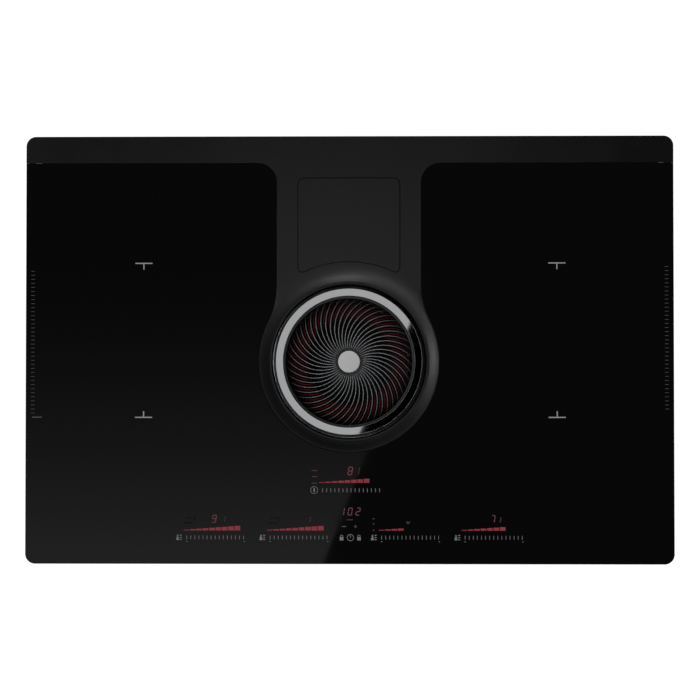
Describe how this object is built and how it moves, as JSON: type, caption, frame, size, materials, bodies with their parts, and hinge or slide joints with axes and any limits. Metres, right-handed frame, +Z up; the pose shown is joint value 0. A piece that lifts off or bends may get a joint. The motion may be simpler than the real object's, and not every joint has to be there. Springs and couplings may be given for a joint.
{
  "type": "downdraft induction cooktop",
  "caption": "Drop-in black glass induction cooktop with a round bladed extraction vent, lift-out grease and odour filters and a fan box below.",
  "frame": {"origin": "middle of the plate, on the worktop's top face, which is the underside of the rim seal", "axes": "+X to the cook's right, +Y to the rear, +Z up out of the worktop"},
  "size_m": [0.78, 0.515, 0.2211],
  "materials": {
    "glass_ceramic": "black glass ceramic, polished",
    "insert_moulding": "anthracite, fine matte grain",
    "lid_moulding": "anthracite, fine matte grain",
    "seal_rubber": "foam seal, matte",
    "polished_steel": "polished stainless steel",
    "blade_metal": "gunmetal anodised",
    "baffle_metal": "dark red anodised",
    "filter_steel": "stamped stainless steel",
    "duct_plastic": "black injection moulded",
    "carbon": "pleated carbon mat",
    "zinc_steel": "hot-dip galvanised sheet",
    "coil_aluminium": "mill finish sheet",
    "coil_copper": "lacquered litz wire",
    "coil_former": "heat-resistant moulding",
    "circuit_board": "solder-resist laminate",
    "motor_steel": "zinc-plated",
    "terminal_plastic": "moulded terminal strip"
  },
  "bodies": {
    "root": {"glass_panel": "glass_ceramic", "centre_insert": "insert_moulding", "rim_seal": "seal_rubber", "cassette_well": "duct_plastic", "suction_throat": "duct_plastic", "base_tray": "zinc_steel", "coil_plate_left": "coil_aluminium", "coil_former_left_front": "coil_former", "coil_winding_left_front": "coil_copper", "pan_sensor_left_front": "coil_former", "coil_former_left_rear": "coil_former", "coil_winding_left_rear": "coil_copper", "pan_sensor_left_rear": "coil_former", "coil_plate_right": "coil_aluminium", "coil_former_right_front": "coil_former", "coil_winding_right_front": "coil_copper", "pan_sensor_right_front": "coil_former", "coil_former_right_rear": "coil_former", "coil_winding_right_rear": "coil_copper", "pan_sensor_right_rear": "coil_former", "inverter_board_left": "circuit_board", "heat_sink_left": "coil_aluminium", "fan_frame_left": "duct_plastic", "inverter_board_right": "circuit_board", "heat_sink_right": "coil_aluminium", "fan_frame_right": "duct_plastic", "touch_board": "circuit_board", "touch_carrier": "duct_plastic", "air_box": "duct_plastic", "air_deck": "duct_plastic", "outlet_spigot": "duct_plastic", "blower_case": "duct_plastic", "blower_lid": "duct_plastic", "blower_motor": "motor_steel", "clamp_screw_left_front": "motor_steel", "clamp_screw_left_rear": "motor_steel", "clamp_screw_right_front": "motor_steel", "clamp_screw_right_rear": "motor_steel", "terminal_cover": "duct_plastic", "terminal_block": "terminal_plastic", "cable_gland": "duct_plastic"},
    "vent_cartridge": {"trim_ring": "polished_steel", "turbine_grille": "blade_metal", "hub_cap": "polished_steel", "baffle_ring": "baffle_metal"},
    "grease_cup": {"grease_basket": "filter_steel"},
    "filter_cassette": {"access_lid": "lid_moulding", "cassette_frame": "duct_plastic", "odour_filter_left": "carbon", "odour_filter_right": "carbon"},
    "drip_drawer": {"drip_tray": "duct_plastic"},
    "blower_rotor": {"blower_wheel": "duct_plastic", "blower_shaft": "motor_steel"},
    "fan_left": {"fan_rotor_left": "duct_plastic"},
    "fan_right": {"fan_rotor_right": "duct_plastic"},
    "claw_left_front": {"clamp_left_front": "zinc_steel"},
    "claw_left_rear": {"clamp_left_rear": "zinc_steel"},
    "claw_right_front": {"clamp_right_front": "zinc_steel"},
    "claw_right_rear": {"clamp_right_rear": "zinc_steel"}
  },
  "joints": [
    {"name": "cartridge_lift", "type": "slide", "parent": "root", "child": "vent_cartridge", "axis": [0, 0, 1], "range_m": [0, 0.11]},
    {"name": "basket_twist", "type": "hinge", "parent": "vent_cartridge", "child": "grease_cup", "pos_m": [0, -0.0144, -0.05], "axis": [0, 0, 1], "range_deg": [0, 20]},
    {"name": "cassette_lift", "type": "slide", "parent": "root", "child": "filter_cassette", "axis": [0, 0, 1], "range_m": [0, 0.125]},
    {"name": "drip_tray_pull", "type": "slide", "parent": "root", "child": "drip_drawer", "axis": [0, -1, 0], "range_m": [0, 0.15]},
    {"name": "blower_spin", "type": "hinge", "parent": "root", "child": "blower_rotor", "pos_m": [0, 0.142, -0.15], "axis": [0, 0, 1], "continuous": true},
    {"name": "fan_left_spin", "type": "hinge", "parent": "root", "child": "fan_left", "pos_m": [-0.249, 0.172, -0.04], "axis": [0, 0, 1], "continuous": true},
    {"name": "fan_right_spin", "type": "hinge", "parent": "root", "child": "fan_right", "pos_m": [0.249, 0.172, -0.04], "axis": [0, 0, 1], "continuous": true},
    {"name": "claw_left_front_turn", "type": "hinge", "parent": "root", "child": "claw_left_front", "pos_m": [-0.35, -0.196, -0.058], "axis": [0, 0, 1], "range_deg": [0, 90]},
    {"name": "claw_left_rear_turn", "type": "hinge", "parent": "root", "child": "claw_left_rear", "pos_m": [-0.35, 0.196, -0.058], "axis": [0, 0, -1], "range_deg": [0, 90]},
    {"name": "claw_right_front_turn", "type": "hinge", "parent": "root", "child": "claw_right_front", "pos_m": [0.35, -0.196, -0.058], "axis": [0, 0, -1], "range_deg": [0, 90]},
    {"name": "claw_right_rear_turn", "type": "hinge", "parent": "root", "child": "claw_right_rear", "pos_m": [0.35, 0.196, -0.058], "axis": [0, 0, 1], "range_deg": [0, 90]}
  ]
}
